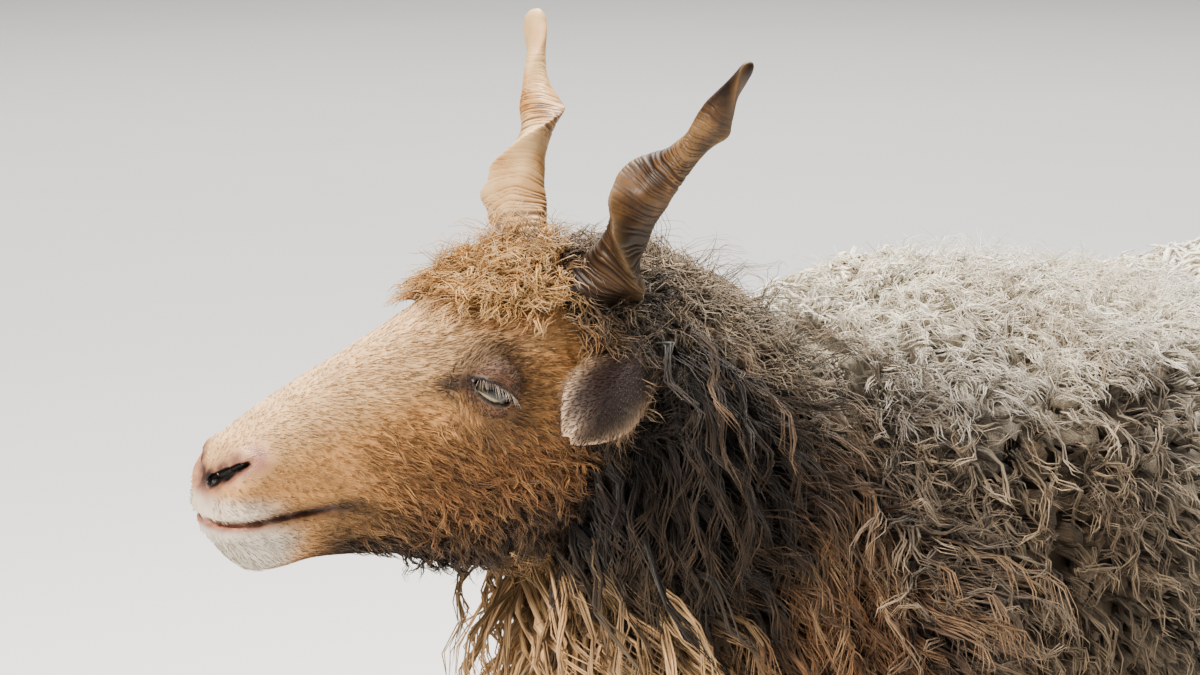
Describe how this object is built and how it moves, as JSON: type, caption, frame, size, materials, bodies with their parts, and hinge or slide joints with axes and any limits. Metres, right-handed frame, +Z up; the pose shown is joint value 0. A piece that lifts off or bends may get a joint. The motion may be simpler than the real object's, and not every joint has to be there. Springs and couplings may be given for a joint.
{
  "type": "racka sheep",
  "caption": "Life-size still model of a racka ewe standing on its hooves, head turned a little to its right, with spiral horns and a long curly fleece.",
  "frame": {"origin": "on the floor, at the middle of the bounding box seen from above", "axes": "the body lies along Y and the animal faces -Y; its left side is +X; +Z is up"},
  "size_m": [0.3956, 1.1444, 0.882],
  "materials": {
    "fleece": "matt cream wool, brown in its shaded depth",
    "neck_wool": "matt brown wool in long wavy locks with pale tips",
    "skin": "skin under short tan hair",
    "ear": "velvety grey-brown short hair with a pale rim",
    "eye": "wet and glossy, amber with a level dark pupil",
    "horn": "satin horn with fine growth rings",
    "hoof": "dull dark horn"
  },
  "bodies": {
    "root": {"torso": "fleece", "tail": "fleece", "neck": "neck_wool", "head": "skin", "leg_fl": "skin", "leg_fr": "skin", "leg_hl": "skin", "leg_hr": "skin", "ear_l": "ear", "ear_r": "ear", "eye_l": "eye", "eye_r": "eye", "horn_l": "horn", "horn_r": "horn", "hoof_fl_inner": "hoof", "hoof_fl_outer": "hoof", "hoof_fr_inner": "hoof", "hoof_fr_outer": "hoof", "hoof_hl_inner": "hoof", "hoof_hl_outer": "hoof", "hoof_hr_inner": "hoof", "hoof_hr_outer": "hoof"}
  },
  "joints": []
}
